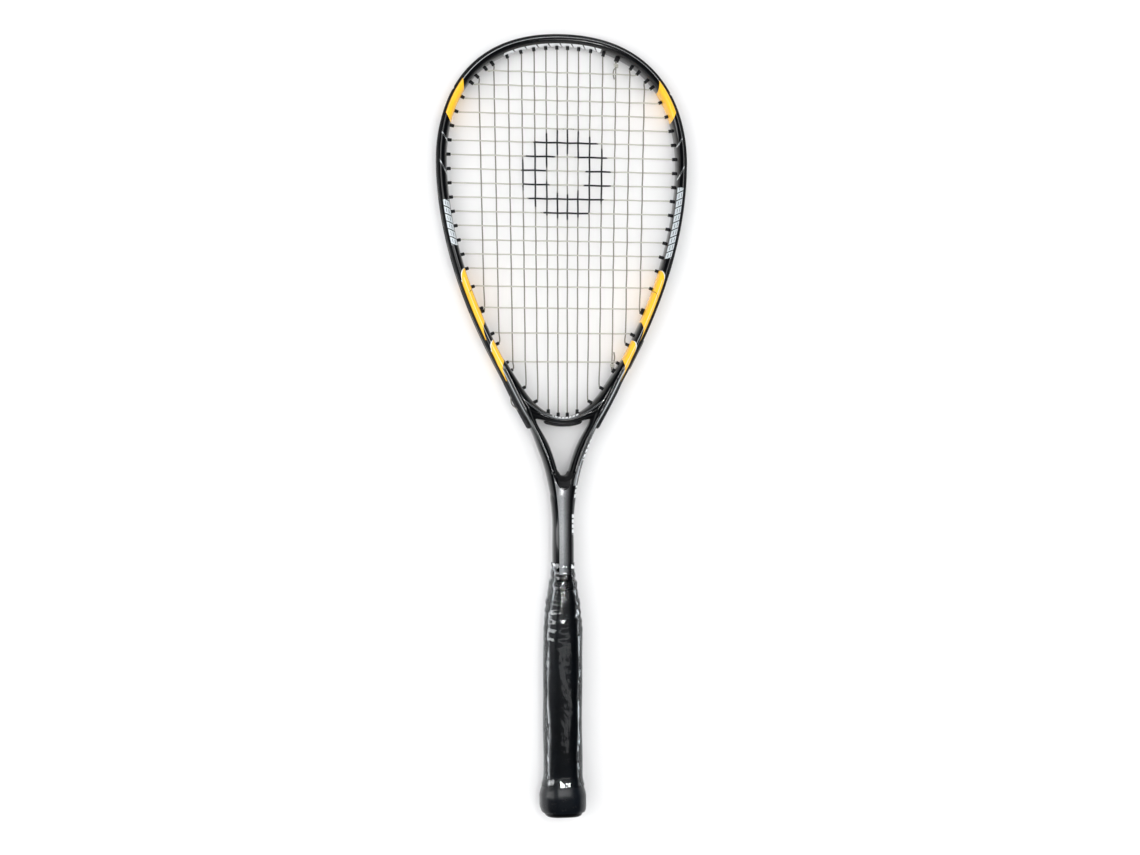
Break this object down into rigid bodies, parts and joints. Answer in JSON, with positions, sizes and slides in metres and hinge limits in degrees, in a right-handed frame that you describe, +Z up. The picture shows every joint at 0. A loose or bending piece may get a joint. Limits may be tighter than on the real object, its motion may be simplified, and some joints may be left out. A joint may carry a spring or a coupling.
{
  "type": "squash racket",
  "caption": "Squash racket with a hollow hairpin frame, open bridged throat, woven strings in grommet strips, and a long handle with a wrapped, flared grip.",
  "frame": {"origin": "centre of the bounding box in plan, at the ground the racket lies on", "axes": "+Y from the butt to the crown of the head, +X across the head, +Z up, square to the ground; the string bed slopes 0.61 degrees down towards the crown because the butt is deeper than the head"},
  "size_m": [0.2222, 0.6859, 0.0344],
  "materials": {
    "frame_paint": "black gloss lacquer over carbon composite, with amber and silver bands",
    "shaft_paint": "metallic silver-grey lacquer",
    "grommet": "satin moulded nylon",
    "string": "off-white braided nylon string",
    "handle_foam": "moulded polyurethane foam",
    "butt_cap": "matt moulded rubber",
    "staple": "bright wire",
    "grip": "black perforated polyurethane grip",
    "tape": "black vinyl tape",
    "film": "clear wrinkled plastic film"
  },
  "bodies": {
    "root": {"frame_tube": "frame_paint", "throat_bridge": "frame_paint", "throat_wedge": "frame_paint", "shaft_wrap": "shaft_paint", "bumper_guard": "grommet", "side_grommet_strip_left": "grommet", "side_grommet_strip_right": "grommet", "throat_grommet_strip": "grommet", "string": "string", "handle_foam_upper": "handle_foam", "handle_foam_lower": "handle_foam", "butt_cap": "butt_cap", "cap_staple_left": "staple", "cap_staple_right": "staple", "grip_wrap": "grip", "finishing_tape": "tape", "grip_film": "film"}
  },
  "joints": []
}
